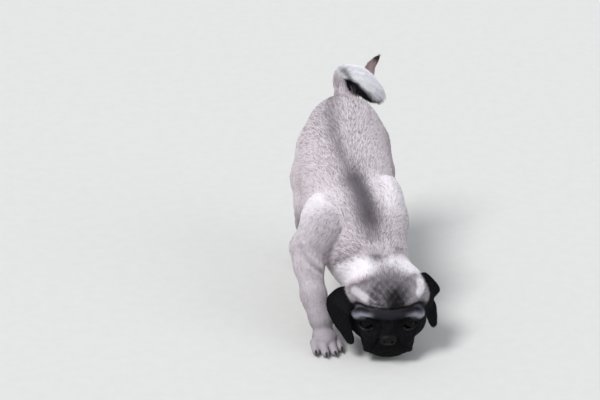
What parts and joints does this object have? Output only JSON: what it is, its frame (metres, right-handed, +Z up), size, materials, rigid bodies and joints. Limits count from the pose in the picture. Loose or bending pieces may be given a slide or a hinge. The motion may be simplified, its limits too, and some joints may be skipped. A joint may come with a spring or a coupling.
{
  "type": "dog figure",
  "caption": "Life-size standing pug with lowered head, bent forelegs, raised rump, folded ears, wrinkled dark face and a tail curled over the hip.",
  "frame": {"origin": "on the floor under the middle of the whole animal's bounding box", "axes": "+Z up, the dog faces -Y, its own left side is +X"},
  "size_m": [0.1916, 0.4058, 0.2792],
  "materials": {
    "fawn_coat": "matte",
    "mask_black": "matte",
    "eye_brown": "glossy",
    "tail_cream": "matte"
  },
  "bodies": {
    "root": {"head": "fawn_coat", "neck": "fawn_coat", "torso": "fawn_coat", "foreleg_right": "fawn_coat", "foreleg_left": "fawn_coat", "hindleg_right": "fawn_coat", "hindleg_left": "fawn_coat", "ear_right": "mask_black", "ear_left": "mask_black", "eye_right": "eye_brown", "eye_left": "eye_brown", "tail_root": "tail_cream", "tail_curl": "tail_cream", "tail_tip": "tail_cream"}
  },
  "joints": []
}
